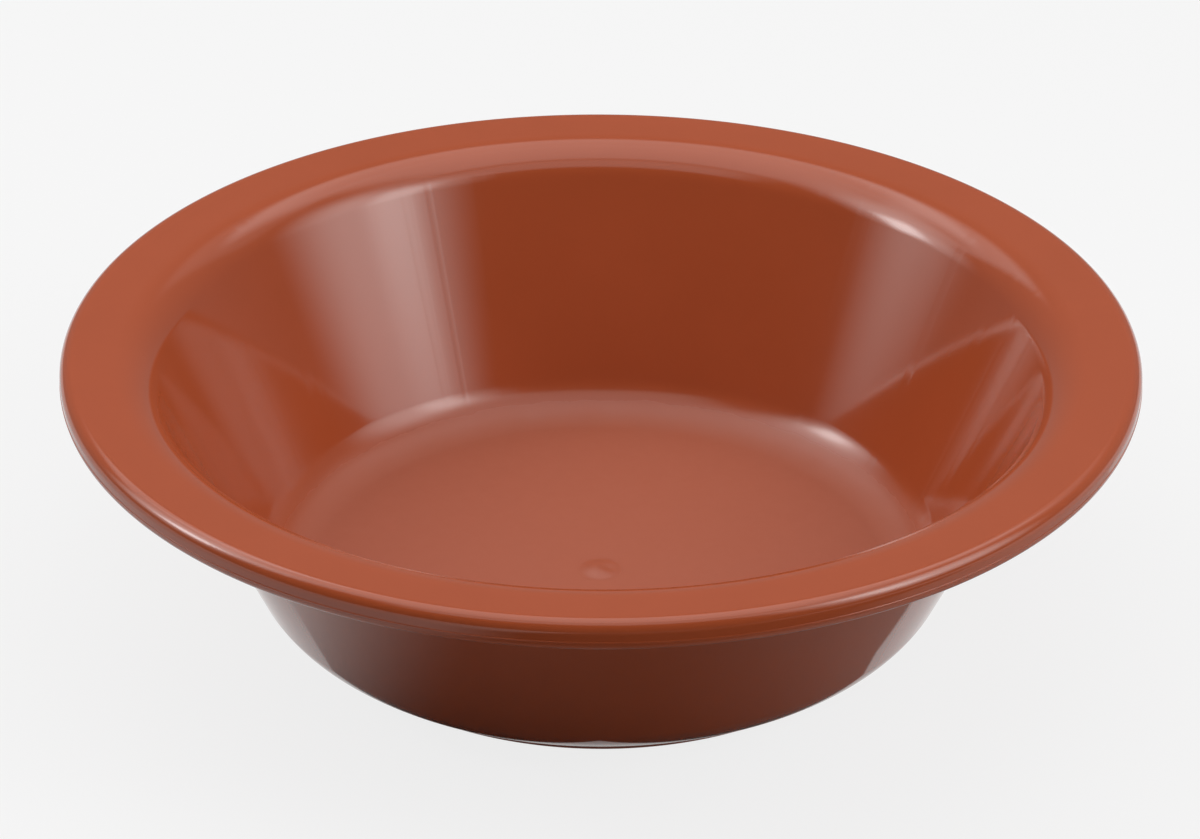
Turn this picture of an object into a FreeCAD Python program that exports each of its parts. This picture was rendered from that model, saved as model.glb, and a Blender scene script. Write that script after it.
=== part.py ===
"""Glossy household bowl with a wide sloping rim, moulded in one piece.

Millimetres, +Z up. The origin is on the axis of the bowl, in the plane on which its foot ring stands.

The bowl is a plate of even thickness, turned about the Z axis. Its section is drawn from two virtual corners,
the mouth corner where the flange meets the wall and the floor corner where the wall meets the floor. Each
corner is rounded by an arc whose centre serves both skins of the plate, so the plate keeps its thickness round
the bend. The moulding is divided at the ends of those arcs, square to the plate, into its named features.
"""
import FreeCAD, Part
import math
import os

# Driving sizes of the whole bowl
rim_radius = 150.0
overall_height = 81.7
plate_thickness = 2.2

# Flange, from the outside of the rim to the mouth corner
flange_width = 23.6
flange_slope_deg = 4.7
shoulder_radius = 14.6

# Wall and heel
wall_slope_deg = 65.6
heel_radius = 16.8

# Down-turned lip
lip_top_radius = 3.5
lip_face_height = 2.2
lip_bottom_radius = 2.6
lip_inner_edge_radius = 0.8
lip_inner_fillet_radius = 1.0
parting_line_height = 0.12
parting_line_width = 0.6

# Foot ring, which reaches a little further out than the flat floor
foot_height = 4.0
foot_reach = 1.35
foot_width = 3.0
foot_draft = 0.3
foot_edge_radius = 0.5

# Gate mark at the centre of the floor
gate_mark_radius = 6.3
gate_mark_height = 1.1
gate_mark_edge_height = 0.15

FULL_TURN_DEG = 360.0
QUARTER_TURN = math.pi / 2
AXIS_POINT = FreeCAD.Vector(0, 0, 0)
AXIS = FreeCAD.Vector(0, 0, 1)


def point(radius, height):
    """A point of the section, in the plane of X and Z."""
    return FreeCAD.Vector(radius, 0, height)


def along(angle):
    """Unit direction in the section, with the angle measured from +X towards +Z."""
    return point(math.cos(angle), math.sin(angle))


def line(start, end):
    return Part.LineSegment(start, end).toShape()


def arc(centre, radius, start_angle, end_angle):
    """Arc edge from one angle to the other, by way of the angle halfway between them."""
    middle_angle = (start_angle + end_angle) / 2
    start, middle, end = [centre + along(angle) * radius for angle in (start_angle, middle_angle, end_angle)]
    return Part.Arc(start, middle, end).toShape()


def turned(edges):
    """Solid made by turning a closed section about the axis of the bowl."""
    return Part.Face(Part.Wire(edges)).revolve(AXIS_POINT, AXIS, FULL_TURN_DEG)


def plate_strip(upper_start, upper_end, normal):
    """Section of a straight stretch of the plate, below its upper skin."""
    depth = normal * -plate_thickness
    lower_start = upper_start + depth
    lower_end = upper_end + depth
    return [
        line(upper_start, upper_end),
        line(upper_end, lower_end),
        line(lower_end, lower_start),
        line(lower_start, upper_start),
    ]


def plate_bend(centre, upper_radius, lower_radius, start_angle, end_angle):
    """Section of a rounded stretch of the plate, between two arcs about one centre."""
    upper_start, upper_end = [centre + along(angle) * upper_radius for angle in (start_angle, end_angle)]
    lower_start, lower_end = [centre + along(angle) * lower_radius for angle in (start_angle, end_angle)]
    return [
        arc(centre, upper_radius, start_angle, end_angle),
        line(upper_end, lower_end),
        arc(centre, lower_radius, end_angle, start_angle),
        line(lower_start, upper_start),
    ]


# The flange falls towards the axis from the rounded top of the lip
flange_slope = math.radians(flange_slope_deg)
flange_normal_angle = QUARTER_TURN + flange_slope
flange_normal = along(flange_normal_angle)
lip_top_centre = point(rim_radius - lip_top_radius, overall_height - lip_top_radius)
flange_outer_end = lip_top_centre + flange_normal * lip_top_radius

# Virtual corners of the upper skin, and the wall that joins them
floor_top = foot_height + plate_thickness
wall_slope = math.radians(wall_slope_deg)
mouth_x = rim_radius - flange_width
mouth_drop = (flange_outer_end.x - mouth_x) * math.tan(flange_slope)
mouth_corner = point(mouth_x, flange_outer_end.z - mouth_drop)
floor_corner = point(mouth_x - (mouth_corner.z - floor_top) / math.tan(wall_slope), floor_top)
wall_normal_angle = QUARTER_TURN + wall_slope
wall_normal = along(wall_normal_angle)
up_the_wall = along(wall_slope)

# Shoulder, whose centre lies under the plate
shoulder_reach = shoulder_radius * math.tan((wall_slope - flange_slope) / 2)
flange_inner_end = mouth_corner + along(flange_slope) * shoulder_reach
wall_upper_end = mouth_corner - up_the_wall * shoulder_reach
shoulder_centre = flange_inner_end - flange_normal * shoulder_radius

# Heel, whose centre lies above the plate
heel_reach = heel_radius * math.tan(wall_slope / 2)
heel_outer_radius = heel_radius + plate_thickness
wall_lower_end = floor_corner + up_the_wall * heel_reach
floor_edge = point(floor_corner.x - heel_reach, floor_top)
heel_centre = point(floor_edge.x, floor_top + heel_radius)

# The lip starts where the fillet between its inner face and the underside of the flange ends
lip_inner_face = rim_radius - lip_bottom_radius - lip_inner_edge_radius
inner_fillet_x = lip_inner_face - lip_inner_fillet_radius
underside_outer_end = flange_outer_end - flange_normal * plate_thickness
underside_drop = (underside_outer_end.x - inner_fillet_x) * math.tan(flange_slope)
inner_fillet_rise = lip_inner_fillet_radius / math.cos(flange_slope)
inner_fillet_centre = point(inner_fillet_x, underside_outer_end.z - underside_drop - inner_fillet_rise)
lip_root_lower = inner_fillet_centre + flange_normal * lip_inner_fillet_radius
lip_root_upper = lip_root_lower + flange_normal * plate_thickness


def rolled_lip():
    """Down-turned edge with a low ridge, left by the mould, just above the end of its upright face."""
    face_bottom = lip_top_centre.z - lip_face_height
    ridge_top = point(rim_radius, face_bottom + parting_line_width)
    ridge_crest = point(rim_radius + parting_line_height, face_bottom + parting_line_width / 2)
    ridge_bottom = point(rim_radius, face_bottom)
    bottom_centre = point(rim_radius - lip_bottom_radius, face_bottom)
    inner_edge_z = face_bottom - lip_bottom_radius + lip_inner_edge_radius
    inner_edge_centre = point(lip_inner_face + lip_inner_edge_radius, inner_edge_z)
    return turned([
        line(lip_root_upper, flange_outer_end),
        arc(lip_top_centre, lip_top_radius, flange_normal_angle, 0),
        line(point(rim_radius, lip_top_centre.z), ridge_top),
        Part.Arc(ridge_top, ridge_crest, ridge_bottom).toShape(),
        arc(bottom_centre, lip_bottom_radius, 0, -QUARTER_TURN),
        arc(inner_edge_centre, lip_inner_edge_radius, -QUARTER_TURN, -math.pi),
        line(point(lip_inner_face, inner_edge_z), point(lip_inner_face, inner_fillet_centre.z)),
        arc(inner_fillet_centre, lip_inner_fillet_radius, 0, flange_normal_angle),
        line(lip_root_lower, lip_root_upper),
    ])


def rim_flange():
    return turned(plate_strip(lip_root_upper, flange_inner_end, flange_normal))


def rim_shoulder():
    lower_radius = shoulder_radius - plate_thickness
    return turned(
        plate_bend(shoulder_centre, shoulder_radius, lower_radius, flange_normal_angle, wall_normal_angle)
    )


def side_wall():
    return turned(plate_strip(wall_upper_end, wall_lower_end, wall_normal))


def heel():
    wall_end_angle = wall_normal_angle - math.pi
    return turned(plate_bend(heel_centre, heel_radius, heel_outer_radius, wall_end_angle, -QUARTER_TURN))


def floor_disc():
    """Flat floor, out to where the heel begins."""
    centre_top = point(0, floor_top)
    centre_bottom = point(0, foot_height)
    edge_bottom = point(floor_edge.x, foot_height)
    return turned([
        line(centre_top, floor_edge),
        line(floor_edge, edge_bottom),
        line(edge_bottom, centre_bottom),
        line(centre_bottom, centre_top),
    ])


def gate_mark():
    """Low domed nub with a short upright edge, on the floor where the mould was filled."""
    centre_bottom = point(0, floor_top)
    edge_bottom = point(gate_mark_radius, floor_top)
    edge_top = point(gate_mark_radius, floor_top + gate_mark_edge_height)
    crown = point(0, floor_top + gate_mark_height)
    crown_rise = gate_mark_height - gate_mark_edge_height
    crown_radius = (gate_mark_radius ** 2 + crown_rise ** 2) / (2 * crown_rise)
    crown_centre = crown - AXIS * crown_radius
    edge_angle = math.atan2(edge_top.z - crown_centre.z, gate_mark_radius)
    return turned([
        line(centre_bottom, edge_bottom),
        line(edge_bottom, edge_top),
        arc(crown_centre, crown_radius, edge_angle, QUARTER_TURN),
        line(crown, centre_bottom),
    ])


def is_foot_edge(edge):
    """True for the two circles on which the sides of the foot ring meet its flat foot."""
    low = all(vertex.Z < foot_edge_radius for vertex in edge.Vertexes)
    return low and isinstance(edge.Curve, Part.Circle)


def foot_ring():
    """Ring with drafted sides and a rounded foot, whose top follows the flat floor and the start of the heel."""
    outer_bottom = point(floor_edge.x + foot_reach, 0)
    inner_bottom = point(outer_bottom.x - foot_width, 0)
    inner_top = point(inner_bottom.x - foot_draft, foot_height)
    top_angle = -math.acos((foot_reach + foot_draft) / heel_outer_radius)
    outer_top = heel_centre + along(top_angle) * heel_outer_radius
    ring = turned([
        line(inner_top, inner_bottom),
        line(inner_bottom, outer_bottom),
        line(outer_bottom, outer_top),
        arc(heel_centre, heel_outer_radius, top_angle, -QUARTER_TURN),
        line(point(floor_edge.x, foot_height), inner_top),
    ])
    foot_edges = [edge for edge in ring.Edges if is_foot_edge(edge)]
    return ring.makeFillet(foot_edge_radius, foot_edges).Solids[0]


def main():
    os.makedirs("parts", exist_ok=True)
    features = (rolled_lip, rim_flange, rim_shoulder, side_wall, heel, floor_disc, gate_mark, foot_ring)
    for feature in features:
        solid = feature()
        name = feature.__name__
        solid.exportStep("parts/" + name + ".step")
        box = solid.optimalBoundingBox()
        print(name, solid.ShapeType, "valid" if solid.isValid() else "NOT VALID")
        print("   volume", round(solid.Volume), "reach", round(box.XMax, 3),
              "heights", round(box.ZMin, 3), round(box.ZMax, 3))


main()
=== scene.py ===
# %% [markdown]
# # A glossy bowl, moulded in one piece
#
# The real object is a household bowl of terracotta-coloured polypropylene. Molten plastic is
# pressed into a polished steel mould through a gate at the middle of the floor, so the whole bowl
# is one thin plate of even thickness with soft bends, a rolled lip and a low foot ring. This lesson
# builds the eight features of that moulding, gives them one plastic, and lights them on a plain
# pale floor.
#
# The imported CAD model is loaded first. It is the fixed frame in which every new piece is placed.

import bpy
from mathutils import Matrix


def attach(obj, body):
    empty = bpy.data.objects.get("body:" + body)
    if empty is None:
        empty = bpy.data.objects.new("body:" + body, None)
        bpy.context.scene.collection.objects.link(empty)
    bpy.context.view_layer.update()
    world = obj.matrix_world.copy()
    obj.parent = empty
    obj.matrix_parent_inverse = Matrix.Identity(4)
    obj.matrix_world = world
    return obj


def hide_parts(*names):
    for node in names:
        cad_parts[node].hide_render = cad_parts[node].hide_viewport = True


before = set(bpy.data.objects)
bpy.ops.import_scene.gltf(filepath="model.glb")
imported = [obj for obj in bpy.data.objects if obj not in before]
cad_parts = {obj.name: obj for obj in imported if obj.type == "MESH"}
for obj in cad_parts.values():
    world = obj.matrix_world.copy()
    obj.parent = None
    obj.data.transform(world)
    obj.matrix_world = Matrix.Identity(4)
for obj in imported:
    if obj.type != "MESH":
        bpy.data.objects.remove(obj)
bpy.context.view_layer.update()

# %% [markdown]
# A lesson needs few tools: numpy works out the surfaces as whole arrays, and Blender's own module
# takes the finished arrays. Sizes are said in millimetres, as on a drawing, and turned to metres
# once, here.

import bpy
import numpy as np
from mathutils import Matrix, Vector

MM = 0.001


def metres(**sizes_in_mm):
    """The same named sizes, in metres."""
    return {name: size * MM for name, size in sizes_in_mm.items()}


print("one millimetre is", MM, "m")

# %% [markdown]
# The drawing of the section. A section is half a slice through the bowl: the distance from the axis
# goes one way and the height the other. Two virtual corners set it out, one where the flange meets
# the wall and one where the wall meets the floor, and each is rounded by an arc whose centre serves
# both skins of the plate. That is how a mould maker keeps the wall even, because a thick bend would
# sink as it cools.

# %% Sizes of the moulding
bowl = metres(
    rim=150.0, height=81.7, plate=2.2, flange_width=23.6, shoulder=14.6, heel=16.8,
    lip_top=3.5, lip_face=2.2, lip_bottom=2.6, lip_inner_edge=0.8, lip_fillet=1.0,
    parting_rise=0.12, parting_width=0.6,
    foot=4.0, foot_reach=1.35, foot_width=3.0, foot_draft=0.3, foot_edge=0.5,
    gate=6.3, gate_rise=1.0, pit_right=3.2, pit_back=0.6, pit_spread=1.7,
)
FLANGE_SLOPE = np.radians(4.7)
WALL_SLOPE = np.radians(65.6)
QUARTER = np.pi / 2


def along(angle):
    """Unit direction in the section: the cosine of the angle outwards, its sine upwards."""
    return np.array([np.cos(angle), np.sin(angle)])


def spot(reach, height):
    """A point of the section, by its distance from the axis and its height."""
    return np.array([reach, height])


print("rim", bowl["rim"], "m, flange falls", round(np.degrees(FLANGE_SLOPE), 1), "degrees")

# %% [markdown]
# From those sizes follow the corners, the centres of the bends and the ends of each stretch. The
# flange's line runs to the mouth corner, the wall's line from there to the floor corner, and a bend
# takes away the same length from the two lines that meet in its corner.

# %% Corners and centres of the flange, wall and floor
flange_up = along(QUARTER + FLANGE_SLOPE)
wall_up = along(QUARTER + WALL_SLOPE)
lip_centre = spot(bowl["rim"] - bowl["lip_top"], bowl["height"] - bowl["lip_top"])
flange_outer = lip_centre + flange_up * bowl["lip_top"]

mouth_reach = bowl["rim"] - bowl["flange_width"]
mouth_fall = (flange_outer[0] - mouth_reach) * np.tan(FLANGE_SLOPE)
mouth_corner = spot(mouth_reach, flange_outer[1] - mouth_fall)
floor_top = bowl["foot"] + bowl["plate"]
floor_corner = spot(mouth_reach - (mouth_corner[1] - floor_top) / np.tan(WALL_SLOPE), floor_top)

shoulder_cut = bowl["shoulder"] * np.tan((WALL_SLOPE - FLANGE_SLOPE) / 2)
flange_inner = mouth_corner + along(FLANGE_SLOPE) * shoulder_cut
wall_top = mouth_corner - along(WALL_SLOPE) * shoulder_cut
shoulder_centre = flange_inner - flange_up * bowl["shoulder"]

heel_cut = bowl["heel"] * np.tan(WALL_SLOPE / 2)
heel_outer = bowl["heel"] + bowl["plate"]
wall_bottom = floor_corner + along(WALL_SLOPE) * heel_cut
floor_edge = spot(floor_corner[0] - heel_cut, floor_top)
heel_centre = floor_edge + spot(0, bowl["heel"])
print("floor is flat to", round(floor_edge[0] / MM, 2), "mm")
print("wall starts at", (wall_bottom / MM).round(2), "mm")

# %% [markdown]
# The flange ends in the lip. Underneath, a small fillet joins the two, and the seam between them
# starts where that fillet touches the underside of the flange.

# %% Root of the lip
lip_inner_reach = bowl["rim"] - bowl["lip_bottom"] - bowl["lip_inner_edge"]
fillet_reach = lip_inner_reach - bowl["lip_fillet"]
underside = flange_outer - flange_up * bowl["plate"]
underside_fall = (underside[0] - fillet_reach) * np.tan(FLANGE_SLOPE)
fillet_drop = bowl["lip_fillet"] / np.cos(FLANGE_SLOPE)
fillet_centre = spot(fillet_reach, underside[1] - underside_fall - fillet_drop)
root_lower = fillet_centre + flange_up * bowl["lip_fillet"]
root_upper = root_lower + flange_up * bowl["plate"]
print("lip starts at", (root_upper / MM).round(2), "mm")

# %% [markdown]
# A profile is a chain of runs, and a run is a straight line or an arc. Each run also knows which
# way its skin faces at every point, so that the finished surface shades as a true curve and not as
# the flat facets that it is made of, while a real corner between two runs stays crisp.

# %% Runs of a profile
def straight(start, end, steps=1):
    """Line cut into equal steps. Its skin faces to the left of the way that it runs."""
    share = np.linspace(0, 1, steps + 1)[:, None]
    way = (end - start) / np.linalg.norm(end - start)
    facing = np.array([-way[1], way[0]])
    return start + (end - start) * share, np.repeat(facing[None], steps + 1, 0)


def bend(centre, radius, start_angle, end_angle, steps):
    """Arc cut into equal angles: the centre plus the radius along each angle. Its skin faces away
    from the centre where the angle falls, and towards the centre where the angle grows."""
    angles = np.linspace(start_angle, end_angle, steps + 1)
    spokes = np.stack([np.cos(angles), np.sin(angles)], axis=1)
    return centre + radius * spokes, spokes * np.sign(start_angle - end_angle)


print("the wall's line faces", straight(wall_bottom, wall_top)[1][0].round(3))

# %% [markdown]
# Turning a profile about the axis makes the piece, as a potter's wheel or a lathe would. A Spin
# operator could do it too, but here the grid of points is worked out directly: one parameter walks
# along the profile and the other round the axis. A profile that starts and ends on the axis closes
# there in a single pole, and any other profile is a loop that closes on itself.

# %% Turn a profile into a closed piece
ROUND_STEPS = 512
ON_AXIS = 1e-9


def turned(name, runs):
    """Surface of revolution. Point (i, j) is the profile's point i carried round by angle j: its
    reach times the cosine and sine of the angle, at the same height. A face joins points i, i+1
    and angles j, j+1."""
    points = np.concatenate([run[0][:-1] for run in runs] + [runs[-1][0][-1:]])
    facing_start = np.concatenate([run[1][:-1] for run in runs])
    facing_end = np.concatenate([run[1][1:] for run in runs])
    is_loop = np.allclose(points[0], points[-1])
    if is_loop:
        points = points[:-1]
    angles = np.arange(ROUND_STEPS) * 2 * np.pi / ROUND_STEPS
    cosine, sine = np.cos(angles), np.sin(angles)
    reach, height = points[:, :1], points[:, 1:]
    grid = np.stack([reach * cosine, reach * sine, height + 0 * cosine], axis=-1).reshape(-1, 3)

    numbers = np.arange(len(points) * ROUND_STEPS).reshape(len(points), ROUND_STEPS)
    on_axis = points[:, 0] < ON_AXIS
    numbers[on_axis] = numbers[on_axis, :1]
    here = numbers if is_loop else numbers[:-1]
    there = np.roll(numbers, -1, axis=0) if is_loop else numbers[1:]
    next_there, next_here = np.roll(there, -1, axis=1), np.roll(here, -1, axis=1)
    corners = np.stack([here, there, next_there, next_here], axis=-1).reshape(-1, 4)

    segment = np.repeat(np.arange(len(here)), ROUND_STEPS)
    facing = np.stack([facing_start, facing_end, facing_end, facing_start], axis=1)[segment]
    step = np.tile(np.arange(ROUND_STEPS), len(here))
    turn = np.stack([step, step, step + 1, step + 1], axis=1) * 2 * np.pi / ROUND_STEPS
    outward, upward = facing[..., 0], facing[..., 1]
    normals = np.stack([outward * np.cos(turn), outward * np.sin(turn), upward], axis=-1)
    kept = corners != np.roll(corners, 1, axis=1)
    return put_into_mesh(name, grid, corners, kept, normals)


def put_into_mesh(name, grid, corners, kept, normals):
    """Mesh from whole arrays. A corner that repeats the one before it, as at a pole, is left out,
    and points that no face uses are left out as well."""
    used, renumbered = np.unique(corners[kept], return_inverse=True)
    sides = kept.sum(axis=1)
    starts = np.concatenate([[0], np.cumsum(sides)[:-1]])
    mesh = bpy.data.meshes.new(name)
    mesh.vertices.add(len(used))
    mesh.vertices.foreach_set("co", grid[used].astype(np.float32).ravel())
    mesh.loops.add(len(renumbered))
    mesh.loops.foreach_set("vertex_index", renumbered.ravel().astype(np.int32))
    mesh.polygons.add(len(sides))
    mesh.polygons.foreach_set("loop_start", starts.astype(np.int32))
    mesh.polygons.foreach_set("use_smooth", np.ones(len(sides), dtype=bool))
    mesh.update(calc_edges=True)
    mesh.normals_split_custom_set(normals[kept])
    piece = bpy.data.objects.new(name, mesh)
    bpy.context.scene.collection.objects.link(piece)
    print(name, len(mesh.polygons), "faces, changed by validation:", mesh.validate())
    return piece


print("each piece is turned in", ROUND_STEPS, "steps")

# %% [markdown]
# How finely each run is cut. A tight round that catches the light gets many steps for its size. A
# straight stretch needs none for its shape, but a few keep its faces from being long slivers.

# %% Steps along the profile
STEPS = {
    "lip_top": 28, "ridge": 8, "lip_bottom": 18, "lip_edge": 10, "lip_fillet": 10,
    "flange": 12, "shoulder": 24, "wall": 24, "heel": 32, "floor": 16,
    "gate_top": 24, "gate_under": 4, "foot_edge": 8, "foot_seam": 4,
}
print("finest run:", max(STEPS, key=STEPS.get))

# %% [markdown]
# The rolled lip gives the thin plate a stiff, round edge that is kind to the hand. Its outer face is
# upright, and just above the end of that face runs a hair-fine ridge: the parting line, where the
# two halves of the mould closed. It is real geometry, because it catches the light as a thin line
# all round the bowl.

# %% Parting line
face_bottom = lip_centre[1] - bowl["lip_face"]
ridge_half = bowl["parting_width"] / 2
ridge_radius = (bowl["parting_rise"] ** 2 + ridge_half ** 2) / (2 * bowl["parting_rise"])
ridge_reach = bowl["rim"] + bowl["parting_rise"] - ridge_radius
ridge_centre = spot(ridge_reach, face_bottom + ridge_half)
ridge_angle = np.arcsin(ridge_half / ridge_radius)
print("the parting line's round has a radius of", round(ridge_radius / MM, 2), "mm")

# %% [markdown]
# The lip's profile runs from the flange over the top, down the face, across the parting line, round
# the bottom and up its inner side, and the seam with the flange closes it.

# %% Rolled lip
lip_bottom_centre = spot(bowl["rim"] - bowl["lip_bottom"], face_bottom)
inner_edge_height = face_bottom - bowl["lip_bottom"] + bowl["lip_inner_edge"]
inner_edge_start = spot(lip_inner_reach, inner_edge_height)
inner_edge_centre = spot(lip_inner_reach + bowl["lip_inner_edge"], inner_edge_height)
face_start = spot(bowl["rim"], lip_centre[1])
face_end = spot(bowl["rim"], face_bottom + bowl["parting_width"])
flange_angle = QUARTER + FLANGE_SLOPE
rolled_lip = turned("moulded_lip", [
    straight(root_upper, flange_outer),
    bend(lip_centre, bowl["lip_top"], flange_angle, 0, STEPS["lip_top"]),
    straight(face_start, face_end),
    bend(ridge_centre, ridge_radius, ridge_angle, -ridge_angle, STEPS["ridge"]),
    bend(lip_bottom_centre, bowl["lip_bottom"], 0, -QUARTER, STEPS["lip_bottom"]),
    bend(inner_edge_centre, bowl["lip_inner_edge"], -QUARTER, -np.pi, STEPS["lip_edge"]),
    straight(inner_edge_start, spot(lip_inner_reach, fillet_centre[1])),
    bend(fillet_centre, bowl["lip_fillet"], 0, flange_angle, STEPS["lip_fillet"]),
    straight(root_lower, root_upper),
])

# %% [markdown]
# The flange, the wall and the two bends between them are stretches of one plate. A straight stretch
# is its upper line and the same line one plate lower. A bend is two arcs about one centre. Each
# stretch is closed by short seams, square to the plate, that lie exactly against the next stretch's
# seam, so the skin runs on without a step.
#
# The reflection of the rim lies lower on the real inner wall than a straight wall puts it. The inner
# skin of the wall is therefore shaded as if it leaned back by a few degrees more, and the lean runs
# out in the bends. No point of the surface moves. A slightly curved wall would do the same, but the
# outline of the real one looks straight.

# %% Stretches of the plate
WALL_LEAN = np.radians(-5.0)


def leaned(run, first, last):
    """The same points, with the way that the skin faces turned by an angle that changes evenly
    along the run."""
    turn = np.linspace(first, last, len(run[0]))
    cosine, sine = np.cos(turn), np.sin(turn)
    outward, upward = run[1][:, 0], run[1][:, 1]
    new_outward = outward * cosine - upward * sine
    new_upward = outward * sine + upward * cosine
    return run[0], np.stack([new_outward, new_upward], axis=1)


def plate(name, lower_end, upper_end, up, steps, lean=0.0):
    """Straight stretch of the plate: the upper line from its low end to its high end, a seam, the
    lower line back, a seam."""
    down = up * -bowl["plate"]
    return turned(name, [
        leaned(straight(lower_end, upper_end, steps), lean, lean),
        straight(upper_end, upper_end + down),
        straight(upper_end + down, lower_end + down, steps),
        straight(lower_end + down, lower_end),
    ])


def plate_bend(name, centre, upper, lower, lower_angle, upper_angle, steps, lean):
    """Bent stretch of the plate: the upper arc from its low end to its high end, a seam, the lower
    arc back, a seam."""
    inner_end, outer_end = [centre + along(upper_angle) * radius for radius in (upper, lower)]
    inner_start, outer_start = [centre + along(lower_angle) * radius for radius in (upper, lower)]
    return turned(name, [
        leaned(bend(centre, upper, lower_angle, upper_angle, steps), *lean),
        straight(inner_end, outer_end),
        bend(centre, lower, upper_angle, lower_angle, steps),
        straight(outer_start, inner_start),
    ])


print("the wall's skin is shaded as if leaned by", round(np.degrees(WALL_LEAN), 1), "degrees")

# %% [markdown]
# The four stretches, from the rim down to the floor. The shoulder's centre lies under the plate and
# the heel's above it, so the shoulder's upper arc is the larger of its two and the heel's is the
# smaller.

# %% Flange, shoulder, wall and heel
rim_flange = plate("moulded_flange", flange_inner, root_upper, flange_up, STEPS["flange"])
rim_shoulder = plate_bend(
    "moulded_shoulder", shoulder_centre, bowl["shoulder"], bowl["shoulder"] - bowl["plate"],
    QUARTER + WALL_SLOPE, flange_angle, STEPS["shoulder"], (WALL_LEAN, 0.0),
)
side_wall = plate("moulded_wall", wall_bottom, wall_top, wall_up, STEPS["wall"], WALL_LEAN)
heel = plate_bend(
    "moulded_heel", heel_centre, bowl["heel"], heel_outer,
    -QUARTER, WALL_SLOPE - QUARTER, STEPS["heel"], (0.0, WALL_LEAN),
)

# %% [markdown]
# The floor is a flat disc, as thick as the rest of the plate.

# %% Floor
plate_down = spot(0, bowl["plate"])
floor_disc = turned("moulded_floor", [
    straight(spot(0, floor_top), floor_edge, STEPS["floor"]),
    straight(floor_edge, floor_edge - plate_down),
    straight(floor_edge - plate_down, spot(0, bowl["foot"]), STEPS["floor"]),
])

# %% [markdown]
# The gate mark on the floor is what is left of the stem through which the mould was filled: a low
# soft mound that runs out into the floor, with a shallow pit to one side where the stem tore away.
# The mound is turned like the rest, and then the pit is pressed into its points.

# %% Gate mark
PIT_SHARE = 0.8


def mound(radius, rise, steps):
    """Profile from the crown to the edge. At the share s of the radius its height is the rise times
    the square of 1 - s squared, so it is level at the crown and at the edge. Its skin faces square
    to that slope."""
    share = np.linspace(0, 1, steps + 1)
    height = rise * (1 - share ** 2) ** 2
    fall = -4 * rise / radius * share * (1 - share ** 2)
    length = np.hypot(fall, 1)
    points = np.stack([share * radius, floor_top + height], axis=1)
    return points, np.stack([-fall / length, 1 / length], axis=1)


def press_pit(piece, middle, spread, share):
    """Takes a share of each point's height above the floor away. The share is largest at the pit's
    middle and falls off as the exponential of minus the squared distance from it over twice the
    squared spread."""
    mesh = piece.data
    places = np.empty(len(mesh.vertices) * 3, dtype=np.float32)
    mesh.vertices.foreach_get("co", places)
    places = places.reshape(-1, 3)
    away = ((places[:, :2] - middle) ** 2).sum(axis=1)
    sunk = (places[:, 2] - floor_top) * share * np.exp(-away / (2 * spread ** 2))
    places[:, 2] -= sunk
    mesh.vertices.foreach_set("co", places.ravel())
    mesh.normals_split_custom_set(np.zeros((len(mesh.loops), 3)))
    mesh.update()
    print("pit lowers the mound by up to", round(float(sunk.max() / MM), 2), "mm")


gate_mark = turned("moulded_gate_mark", [
    mound(bowl["gate"], bowl["gate_rise"], STEPS["gate_top"]),
    straight(spot(bowl["gate"], floor_top), spot(0, floor_top), STEPS["gate_under"]),
])
pit_middle = np.array([bowl["pit_right"], bowl["pit_back"]])
press_pit(gate_mark, pit_middle, bowl["pit_spread"], PIT_SHARE)

# %% [markdown]
# The ring under the floor is what the bowl stands on. Its sides lean a little so that it leaves the
# mould, and its foot is rounded. The corners of the section come first, and then the rounds.

# %% Corners of the foot ring
foot_outer = spot(floor_edge[0] + bowl["foot_reach"], 0)
foot_inner = foot_outer - spot(bowl["foot_width"], 0)
foot_inner_top = spot(foot_inner[0] - bowl["foot_draft"], bowl["foot"])
foot_top_angle = -np.arccos((bowl["foot_reach"] + bowl["foot_draft"]) / heel_outer)
foot_outer_top = heel_centre + along(foot_top_angle) * heel_outer


def foot_round(corner, side_top, sideways):
    """Where an arc of the foot's edge radius touches the leaning side and the flat foot: its centre,
    and the angle of the side's normal, which is the side's own direction turned by a quarter."""
    side = side_top - corner
    lean = np.arctan2(side[0] * sideways, side[1])
    normal = spot(sideways * np.cos(lean), -np.sin(lean))
    inset = bowl["foot_edge"] * np.tan((QUARTER + lean) / 2)
    centre = corner + spot(-sideways * inset, bowl["foot_edge"])
    return centre, np.arctan2(normal[1], normal[0])


outer_round, outer_angle = foot_round(foot_outer, foot_outer_top, 1)
inner_round, inner_angle = foot_round(foot_inner, foot_inner_top, -1)
print("the bowl stands on a ring with an outer radius of", round(foot_outer[0] / MM, 2), "mm")

# %% [markdown]
# The profile goes down the outside, round the foot and up the inside. Its top lies against the floor
# and follows the heel's lower arc, so the ring grows out of both.

# %% Foot ring
edge_up = spot(0, bowl["foot_edge"])
inner_turn = inner_angle - 2 * np.pi * (inner_angle > 0)
foot_ring = turned("moulded_foot_ring", [
    straight(foot_outer_top, outer_round + along(outer_angle) * bowl["foot_edge"]),
    bend(outer_round, bowl["foot_edge"], outer_angle, -QUARTER, STEPS["foot_edge"]),
    straight(outer_round - edge_up, inner_round - edge_up),
    bend(inner_round, bowl["foot_edge"], -QUARTER, inner_turn, STEPS["foot_edge"]),
    straight(inner_round + along(inner_angle) * bowl["foot_edge"], foot_inner_top),
    straight(foot_inner_top, floor_edge - plate_down),
    bend(heel_centre, heel_outer, -QUARTER, foot_top_angle, STEPS["foot_seam"]),
])

# %% [markdown]
# Materials are built from nodes. Colours are written as they look on a screen and turned to the
# linear values that light adds up in. One helper adds any node, with its settings and what is
# plugged into it.

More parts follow.
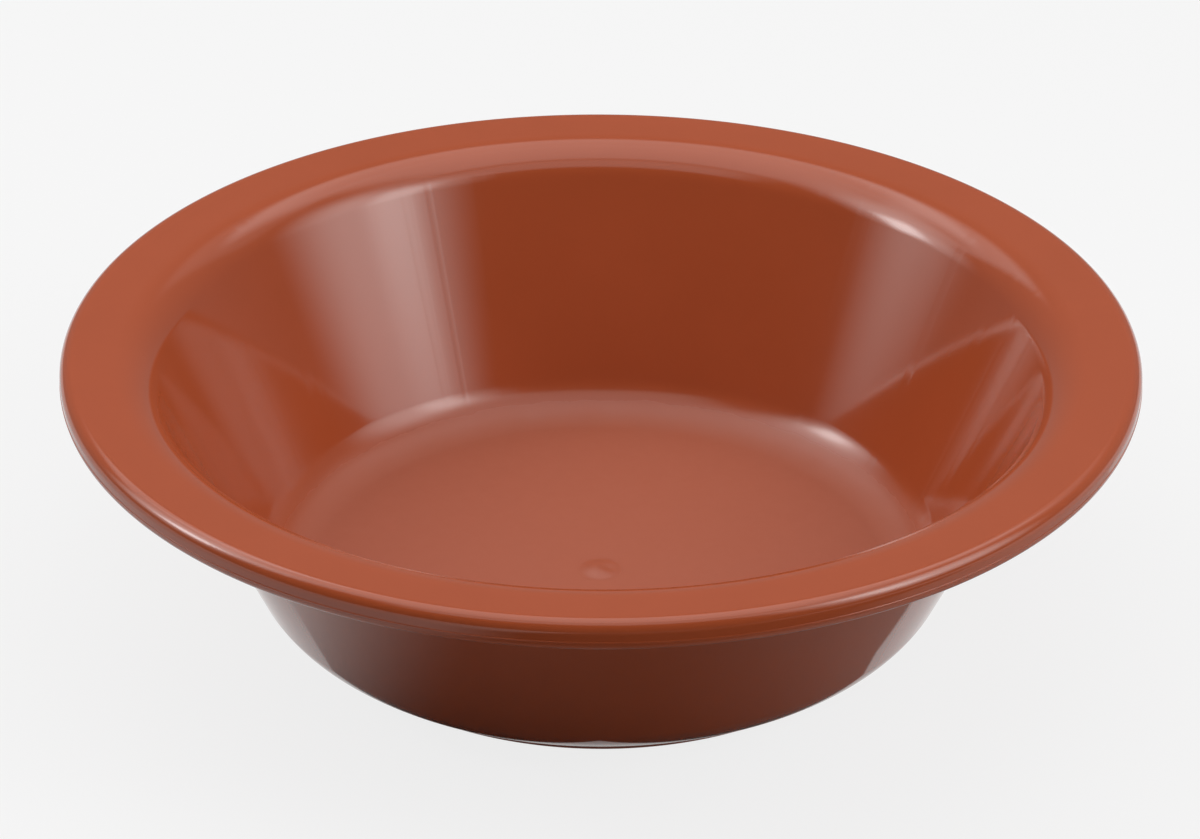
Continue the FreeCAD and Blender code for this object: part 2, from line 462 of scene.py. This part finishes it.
# %% Colour and node helpers
def linear(hex_colour):
    """sRGB to linear: a share up to 0.04045 is divided by 12.92, a larger one has 0.055 added, is
    divided by 1.055 and raised to the power 2.4."""
    share = np.array([int(hex_colour[i:i + 2], 16) for i in (1, 3, 5)]) / 255
    light = np.where(share <= 0.04045, share / 12.92, ((share + 0.055) / 1.055) ** 2.4)
    return (*[float(value) for value in light], 1.0)


def add_node(tree, kind, settings=None, **plugs):
    """Adds a node to a tree. Settings are its own properties. Each plug names an input, with _ for
    a space or in_ and a number for an unnamed one, and is either a value or another node's
    output."""
    node = tree.nodes.new(kind)
    for key, value in (settings or {}).items():
        setattr(node, key, value)
    for key, value in plugs.items():
        name = int(key[3:]) if key.startswith("in_") else key.replace("_", " ")
        socket = node.inputs[name]
        if isinstance(value, bpy.types.NodeSocket):
            tree.links.new(value, socket)
        else:
            socket.default_value = value
    return node


SMOOTH = {"interpolation_type": "SMOOTHSTEP"}
COLOURS = {"data_type": "RGBA"}
MULTIPLY = {"operation": "MULTIPLY"}
print("mid grey is", round(linear("#808080")[0], 3), "in linear light")

# %% [markdown]
# The plastic is polypropylene with terracotta pigment, moulded against steel. The steel was polished
# for the wall and the rim, in strokes that ran up and down and left very faint lines in the skin. On
# the flat floor it was left satin, so the floor shows one even, pale sheen and no picture of the
# lamps. The distance from the axis says where the satin floor ends and the polish begins.
#
# The pigment is never quite even, so a noise as coarse as the swirls in the melt goes between two
# close tones. The satin floor scatters more light, which takes some of the depth out of its colour,
# and that sheen is painted into its colour as a paler one.

# %% Pigment
PIGMENT_DARK, PIGMENT_LIGHT, PAINTED_SATIN_SHEEN = "#954425", "#9C4829", "#984D34"
SWIRL_SIZE = 35 * MM


def pigment_colour(tree, place, polish):
    """Noise between the two pigment tones where the skin is polished, and, where it is satin, one
    paler colour that is a painted sheen."""
    swirl = add_node(
        tree, "ShaderNodeTexNoise", Vector=place, Scale=1 / SWIRL_SIZE, Detail=3.0, Roughness=0.6,
    )
    pigment = add_node(
        tree, "ShaderNodeMix", COLOURS,
        in_0=swirl.outputs["Fac"], in_6=linear(PIGMENT_DARK), in_7=linear(PIGMENT_LIGHT),
    )
    # Where the skin is satin, a paler colour paints in its sheen.
    sheen_colour = linear(PAINTED_SATIN_SHEEN)
    colour = add_node(
        tree, "ShaderNodeMix", COLOURS, in_0=polish, in_6=sheen_colour, in_7=pigment.outputs[2],
    )
    return colour.outputs[2]


print("pigment from", PIGMENT_DARK, "to", PIGMENT_LIGHT)

# %% [markdown]
# The gloss goes from satin to polished with the distance from the axis, and a fine haze makes it
# drift a little, as it does on a bowl that has been handled.

# %% Gloss
HAZE_SIZE = 9 * MM
HAZE_LEAST, HAZE_MOST = 0.8, 1.2


def gloss_roughness(tree, place, polish, satin, polished):
    """Roughness from satin to polished, times the haze."""
    even = add_node(tree, "ShaderNodeMapRange", Value=polish, To_Min=satin, To_Max=polished)
    haze = add_node(
        tree, "ShaderNodeTexNoise", Vector=place, Scale=1 / HAZE_SIZE, Detail=4.0, Roughness=0.6,
    )
    drift = add_node(
        tree, "ShaderNodeMapRange", Value=haze.outputs["Fac"], To_Min=HAZE_LEAST, To_Max=HAZE_MOST,
    )
    gloss = add_node(
        tree, "ShaderNodeMath", MULTIPLY, in_0=even.outputs["Result"], in_1=drift.outputs["Result"],
    )
    return gloss.outputs[0]


print("haze changes the roughness by", HAZE_LEAST, "to", HAZE_MOST)

# %% [markdown]
# The polish lines need a direction, so each point is moved onto a circle about the axis before their
# noise is read. Then the noise is the same all the way up the wall and changes only round it. Real
# strokes lie closer together than a picture can show, so they are drawn as coarse as they need to
# be. The skin is also slightly wavy where it cooled. All of this is small: it shows as life in the
# reflections, not as a texture.

# %% Relief
LINE_REACH, LINE_SPACING = 117 * MM, 6.5 * MM
LINE_START, LINE_FULL = 0.56, 0.74
WAVE_SIZE = 3 * MM


def skin_relief(tree, place, across, polish, line_depth, wave_depth):
    """Bump of the polish lines, which are noise on the place over its distance from the axis, and on
    that the bump of the waves, which are noise on the place. Depths are in millimetres."""
    round_the_axis = add_node(tree, "ShaderNodeVectorMath", {"operation": "NORMALIZE"}, in_0=across)
    lines = add_node(
        tree, "ShaderNodeTexNoise",
        Vector=round_the_axis.outputs[0], Scale=LINE_REACH / LINE_SPACING, Detail=2.0,
    )
    ridges = add_node(
        tree, "ShaderNodeMapRange",
        Value=lines.outputs["Fac"], From_Min=LINE_START, From_Max=LINE_FULL,
    )
    strokes = add_node(
        tree, "ShaderNodeMath", MULTIPLY, in_0=ridges.outputs["Result"], in_1=polish,
    )
    stroked = add_node(
        tree, "ShaderNodeBump",
        Strength=1.0, Distance=line_depth * MM, Height=strokes.outputs[0],
    )
    waves = add_node(tree, "ShaderNodeTexNoise", Vector=place, Scale=1 / WAVE_SIZE, Detail=2.0)
    wavy = add_node(
        tree, "ShaderNodeBump", Strength=1.0, Distance=wave_depth * MM,
        Height=waves.outputs["Fac"], Normal=stroked.outputs["Normal"],
    )
    return wavy.outputs["Normal"]


print("about", round(2 * np.pi * LINE_REACH / LINE_SPACING), "places for a line round the wall")

# %% [markdown]
# The three come together in one plastic, read in Object coordinates, so it runs on from piece to
# piece without a break. The torn gate mark is the same plastic with no polish and a rougher skin.

# %% Moulded polypropylene
POLYPROPYLENE_IOR = 1.49
SATIN_TO, POLISH_FROM = 86 * MM, 99 * MM


def moulded_polypropylene(name, satin, polished, line_depth, wave_depth):
    """Pigmented polypropylene. Polish is a smooth step of the distance from the axis, 0 on the satin
    floor and 1 on the wall."""
    material = bpy.data.materials.new(name)
    material.use_nodes = True
    tree = material.node_tree
    skin = tree.nodes["Principled BSDF"]
    place = add_node(tree, "ShaderNodeTexCoord").outputs["Object"]
    flattened = add_node(tree, "ShaderNodeVectorMath", MULTIPLY, in_0=place, in_1=(1, 1, 0))
    across = flattened.outputs[0]
    reach = add_node(tree, "ShaderNodeVectorMath", {"operation": "LENGTH"}, in_0=across)
    polish = add_node(
        tree, "ShaderNodeMapRange", SMOOTH,
        Value=reach.outputs["Value"], From_Min=SATIN_TO, From_Max=POLISH_FROM,
    ).outputs["Result"]
    colour = pigment_colour(tree, place, polish)
    roughness = gloss_roughness(tree, place, polish, satin, polished)
    relief = skin_relief(tree, place, across, polish, line_depth, wave_depth)
    tree.links.new(colour, skin.inputs["Base Color"])
    tree.links.new(roughness, skin.inputs["Roughness"])
    tree.links.new(relief, skin.inputs["Normal"])
    skin.inputs["IOR"].default_value = POLYPROPYLENE_IOR
    return material


bowl_skin = moulded_polypropylene(
    "moulded polypropylene", satin=0.55, polished=0.075, line_depth=0.02, wave_depth=0.002,
)
gate_skin = moulded_polypropylene(
    "torn polypropylene at the gate", satin=0.4, polished=0.4, line_depth=0.0, wave_depth=0.03,
)
print("materials:", bowl_skin.name, "and", gate_skin.name)

# %% [markdown]
# Each piece gets its plastic, rides on the bowl's one body and takes the place of the CAD solid of
# the same feature.

# %% Dress the pieces
pieces = {
    "rolled_lip": rolled_lip, "rim_flange": rim_flange, "rim_shoulder": rim_shoulder,
    "side_wall": side_wall, "heel": heel, "floor_disc": floor_disc, "gate_mark": gate_mark,
    "foot_ring": foot_ring,
}
for node, piece in pieces.items():
    piece.data.materials.append(gate_skin if node == "gate_mark" else bowl_skin)
    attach(piece, "root")
    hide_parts(node)
print("pieces dressed:", len(pieces))

# %% [markdown]
# The floor of the studio is a plain pale sheet of paper, large enough to reach past the picture.

# %% Studio floor
FLOOR_HALF = 4.0
floor_corners = [
    (-FLOOR_HALF, -FLOOR_HALF, 0), (FLOOR_HALF, -FLOOR_HALF, 0),
    (FLOOR_HALF, FLOOR_HALF, 0), (-FLOOR_HALF, FLOOR_HALF, 0),
]
floor_mesh = bpy.data.meshes.new("studio_floor")
floor_mesh.from_pydata(floor_corners, [], [(0, 1, 2, 3)])
studio_floor = bpy.data.objects.new("studio_floor", floor_mesh)
bpy.context.scene.collection.objects.link(studio_floor)
print("floor is", 2 * FLOOR_HALF, "m wide")

# %% [markdown]
# The paper is matt, so it shows the bowl's soft shadow and no reflection of its own. Lamps that are
# right for the bowl leave grey paper grey. The picture's background is white, so the rays that come
# from the camera, and those that the glossy bowl sends on, find the paper mostly glowing white. The
# share that doesn't glow keeps the shadow.

# %% Matt pale paper
PAPER_GREY = "#B2B2B2"
WHITE_SHARE = 0.82


def make_matt(surface):
    """Takes the gloss off a Principled surface."""
    surface.inputs["Roughness"].default_value = 1.0
    surface.inputs["Specular IOR Level"].default_value = 0.0


paper = bpy.data.materials.new("matt pale paper")
paper.use_nodes = True
tree = paper.node_tree
sheet = tree.nodes["Principled BSDF"]
sheet.inputs["Base Color"].default_value = linear(PAPER_GREY)
make_matt(sheet)
ray = add_node(tree, "ShaderNodeLightPath").outputs
seen = add_node(
    tree, "ShaderNodeMath", {"operation": "ADD"},
    in_0=ray["Is Camera Ray"], in_1=ray["Is Glossy Ray"],
)
seen_at_all = add_node(
    tree, "ShaderNodeMath", {"operation": "ADD", "use_clamp": True},
    in_0=seen.outputs[0], in_1=ray["Is Transmission Ray"],
)
share = add_node(
    tree, "ShaderNodeMath", MULTIPLY, in_0=seen_at_all.outputs[0], in_1=WHITE_SHARE,
)
glow = add_node(tree, "ShaderNodeEmission", Strength=1.0)
white = add_node(
    tree, "ShaderNodeMixShader",
    in_0=share.outputs[0], in_1=sheet.outputs[0], in_2=glow.outputs[0],
)
tree.links.new(white.outputs[0], tree.nodes["Material Output"].inputs["Surface"])
floor_mesh.materials.append(paper)
print("paper glows by", WHITE_SHARE, "for the camera and for reflections")

# %% [markdown]
# The outside of the wall is deep in colour, and its pale reflection ends in a crisp slanted edge on
# the right. A photographer can get that with a black card on the table in front of the bowl. Here
# the card is a flat sheet just over the paper, and its near edge follows the bowl. It is painted
# shade: a dark sheet that stands in for the shade that the wall reflects there. Only the glossy
# reflections can see it, so it darkens neither the paper nor the plastic's own colour.

# %% Card of painted shade in front of the bowl
CARD_FRONT, CARD_SPREAD, CARD_LIFT = -1.5, 2.0, 0.4 * MM
card_near = np.array([
    (-400, 60), (-120, -36), (-76, -60), (0, -96),
    (76, -60.5), (88, -55.5), (103, -44.5), (400, 132),
]) * MM
card_far = card_near * [CARD_SPREAD, 0.0] + [0.0, CARD_FRONT]
card_points = np.concatenate([card_far, card_near])
card_points = np.column_stack([card_points, np.full(len(card_points), CARD_LIFT)])
count = len(card_near)
strip = np.arange(count - 1)
card_faces = np.stack([strip, strip + 1, strip + 1 + count, strip + count], axis=1)
card_mesh = bpy.data.meshes.new("shade_card")
card_mesh.from_pydata(card_points.tolist(), [], card_faces.tolist())
shade_card = bpy.data.objects.new("shade_card", card_mesh)
bpy.context.scene.collection.objects.link(shade_card)
shade_card.visible_camera = False
shade_card.visible_diffuse = False
shade_card.visible_shadow = False
print("card faces", len(card_faces))

# %% [markdown]
# The photograph's wall isn't equally dark all over, and the card's tone follows it. Its colours are
# painted reflection: dark where they paint shade, pale where they paint light. It is black far out,
# where the lip's lower edge reflects it. Beside the bowl it is dark grey, and it pales towards the
# right. Towards the left it thins out, because the wall's darkness ends softly there. All four are
# matched to the picture and not to any card that was seen.

# %% Painted shade and reflection on the card
PAINTED_SHADE_NEAR, PAINTED_REFLECTION_RIGHT, PAINTED_SHADE_FAR = "#777675", "#C8C6C4", "#1C1B1A"
PALE_FROM, PALE_TO = 10 * MM, 100 * MM
DARK_BEYOND, DARK_FROM = -230 * MM, -150 * MM
THIN_TO, THIN_FROM = -125 * MM, -45 * MM
painted_shade = bpy.data.materials.new("black felt")
painted_shade.use_nodes = True
tree = painted_shade.node_tree
shade_surface = tree.nodes["Principled BSDF"]
make_matt(shade_surface)
card_place = add_node(tree, "ShaderNodeTexCoord").outputs["Object"]
card_way = add_node(tree, "ShaderNodeSeparateXYZ", Vector=card_place).outputs
pale_right = add_node(
    tree, "ShaderNodeMapRange", SMOOTH, Value=card_way["X"], From_Min=PALE_FROM, From_Max=PALE_TO,
)
beside_bowl = add_node(
    tree, "ShaderNodeMix", COLOURS,
    in_0=pale_right.outputs["Result"], in_6=linear(PAINTED_SHADE_NEAR), in_7=linear(PAINTED_REFLECTION_RIGHT),
)
nearness = add_node(
    tree, "ShaderNodeMapRange", SMOOTH,
    Value=card_way["Y"], From_Min=DARK_BEYOND, From_Max=DARK_FROM,
)
tone = add_node(
    tree, "ShaderNodeMix", COLOURS,
    in_0=nearness.outputs["Result"], in_6=linear(PAINTED_SHADE_FAR), in_7=beside_bowl.outputs[2],
)
tree.links.new(tone.outputs[2], shade_surface.inputs["Base Color"])
thin_left = add_node(
    tree, "ShaderNodeMapRange", SMOOTH, Value=card_way["X"], From_Min=THIN_TO, From_Max=THIN_FROM,
)
clear = add_node(tree, "ShaderNodeBsdfTransparent")
thinned = add_node(
    tree, "ShaderNodeMixShader",
    in_0=thin_left.outputs["Result"], in_1=clear.outputs[0], in_2=shade_surface.outputs[0],
)
tree.links.new(thinned.outputs[0], tree.nodes["Material Output"].inputs["Surface"])
card_mesh.materials.append(painted_shade)
print("felt is black beyond", round(-DARK_BEYOND / MM), "mm in front of the axis")

# %% [markdown]
# A glossy bowl shows its lamps. A soft box is a rectangular lamp whose face fades towards its edges,
# so its reflection has no hard border. A lamp's power is worked out from how bright its face should
# look, where 1 is the white of the picture.

# %% A soft box
AIM = Vector((0, 0, 50 * MM))
LAMP_DISTANCE = 1.6


def soft_box(name, azimuth, elevation, width, height, brightness, edge):
    """Rectangular lamp that faces the bowl. Azimuth 0 is behind it and 90 to its right. Power is
    brightness times pi times area, and the face fades towards its edges, over a share of its half
    width and height."""
    turn, rise = np.radians(azimuth), np.radians(elevation)
    level_share = np.cos(rise)
    away = Vector((np.sin(turn) * level_share, np.cos(turn) * level_share, np.sin(rise)))
    lamp = bpy.data.lights.new(name, "AREA")
    lamp.shape = "RECTANGLE"
    lamp.size, lamp.size_y = width, height
    lamp.energy = brightness * np.pi * width * height
    lamp.use_nodes = True
    fade_the_edges(lamp.node_tree, edge)
    box = bpy.data.objects.new(name, lamp)
    box.location = AIM + away * LAMP_DISTANCE
    box.rotation_mode = "QUATERNION"
    box.rotation_quaternion = away.to_track_quat("Z", "Y")
    box.visible_camera = False
    bpy.context.scene.collection.objects.link(box)
    print(name, "power", round(lamp.energy, 2), "W")


def fade_the_edges(tree, edge):
    """Strength is the product of two smooth steps, one for the width and one for the height. Each is
    1 in the middle and falls to 0 over the edge's share of the way out."""
    face = add_node(tree, "ShaderNodeNewGeometry").outputs["Parametric"]
    middle = add_node(
        tree, "ShaderNodeVectorMath", {"operation": "MULTIPLY_ADD"},
        in_0=face, in_1=(2, 2, 0), in_2=(-1, -1, 0),
    )
    outwards = add_node(
        tree, "ShaderNodeVectorMath", {"operation": "ABSOLUTE"}, in_0=middle.outputs[0],
    )
    sides = add_node(tree, "ShaderNodeSeparateXYZ", Vector=outwards.outputs[0])
    fades = [
        add_node(
            tree, "ShaderNodeMapRange", SMOOTH,
            Value=sides.outputs[axis], From_Min=1.0 - edge, From_Max=1.0, To_Min=1.0, To_Max=0.0,
        ).outputs["Result"]
        for axis in ("X", "Y")
    ]
    glow = add_node(tree, "ShaderNodeMath", MULTIPLY, in_0=fades[0], in_1=fades[1])
    tree.links.new(glow.outputs[0], tree.nodes["Emission"].inputs["Strength"])


print("lamps stand", LAMP_DISTANCE, "m from the bowl")

# %% [markdown]
# The long streaks down the inner walls in the photograph ask for a tall soft box on either side,
# each with a brighter core. Three wide panels overhead, from the back to the front, light the flange
# and the floor, and two dim ones stand behind the bowl. Low down on the camera's side there is no
# lamp, which keeps the far wall deep in colour. All of them are matched to the picture by trial.

# %% Lamps
soft_box(
    "left_soft_box", azimuth=-83, elevation=38, width=1.25, height=1.9, brightness=4.3, edge=0.9,
)
soft_box(
    "left_core", azimuth=-86, elevation=33, width=0.5, height=0.65, brightness=7.5, edge=0.8,
)
soft_box(
    "right_soft_box", azimuth=110, elevation=35, width=1.8, height=1.8, brightness=4.2, edge=0.85,
)
soft_box(
    "right_core", azimuth=118, elevation=38, width=0.6, height=1.0, brightness=3.2, edge=0.8,
)
soft_box(
    "overhead_back", azimuth=0, elevation=62, width=2.6, height=0.8, brightness=1.5, edge=0.5,
)
soft_box(
    "overhead_middle", azimuth=0, elevation=88, width=2.4, height=1.2, brightness=1.7, edge=0.5,
)
soft_box(
    "overhead_front", azimuth=180, elevation=66, width=2.2, height=0.6, brightness=1.2, edge=0.5,
)
soft_box(
    "back_left", azimuth=-42, elevation=46, width=1.4, height=0.8, brightness=1.2, edge=0.5,
)
soft_box(
    "back_right", azimuth=42, elevation=46, width=1.4, height=0.8, brightness=0.4, edge=0.5,
)

# %% [markdown]
# The room is dim where the camera stands and paler behind the bowl, as in front of a white backdrop.
# That pale half puts the even sheen on the flange, and the dim half leaves the far wall deep in
# colour. Rays straight from the camera find the backdrop nearly white.

# %% Room
ROOM_FRONT, ROOM_BACK, ROOM_SEEN = 0.03, 0.28, 0.9
ROOM_TURN = 0.6
world = bpy.data.worlds.new("studio_room")
world.use_nodes = True
tree = world.node_tree
room_way = add_node(tree, "ShaderNodeTexCoord").outputs["Generated"]
room_depth = add_node(tree, "ShaderNodeSeparateXYZ", Vector=room_way).outputs["Y"]
room_light = add_node(
    tree, "ShaderNodeMapRange", SMOOTH,
    Value=room_depth, From_Min=-ROOM_TURN, From_Max=ROOM_TURN, To_Min=ROOM_FRONT, To_Max=ROOM_BACK,
)
room_seen = add_node(
    tree, "ShaderNodeMix", {"data_type": "FLOAT"},
    in_0=add_node(tree, "ShaderNodeLightPath").outputs["Is Camera Ray"],
    in_2=room_light.outputs["Result"], in_3=ROOM_SEEN,
)
backdrop = tree.nodes["Background"]
backdrop.inputs["Color"].default_value = (1, 1, 1, 1)
tree.links.new(room_seen.outputs[0], backdrop.inputs["Strength"])
bpy.context.scene.world = world
print("room from", ROOM_FRONT, "to", ROOM_BACK)

# %% [markdown]
# The camera stands a little over a metre away and looks down by 29 degrees. Its numbers come from
# fitting the rim, the mouth, the wall and the foot of the bowl to the picture. Three directions at
# right angles make its frame: forward, and right and up after a slight roll.

# %% Camera
CAMERA_PLACE = Vector((0, -991.139, 610.429)) * MM
CAMERA_WAY = Vector((-0.00017746, 0.872587, -0.488459))
ROLL = 0.004013
LENS, SENSOR_WIDTH = 120.997, 36.0
camera_data = bpy.data.cameras.new("camera")
camera_data.sensor_fit = "HORIZONTAL"
camera_data.sensor_width = SENSOR_WIDTH
camera_data.lens = LENS
camera = bpy.data.objects.new("camera", camera_data)
bpy.context.scene.collection.objects.link(camera)
bpy.context.scene.camera = camera

forward = CAMERA_WAY.normalized()
level = forward.cross(Vector((0, 0, 1))).normalized()
right = level * np.cos(ROLL) + level.cross(forward) * np.sin(ROLL)
upward = right.cross(forward)
camera.matrix_world = Matrix((
    (right.x, upward.x, -forward.x, CAMERA_PLACE.x),
    (right.y, upward.y, -forward.y, CAMERA_PLACE.y),
    (right.z, upward.z, -forward.z, CAMERA_PLACE.z),
    (0, 0, 0, 1),
))
bpy.context.scene.view_settings.view_transform = "Standard"
print("camera at", [round(value, 3) for value in camera.matrix_world.translation])
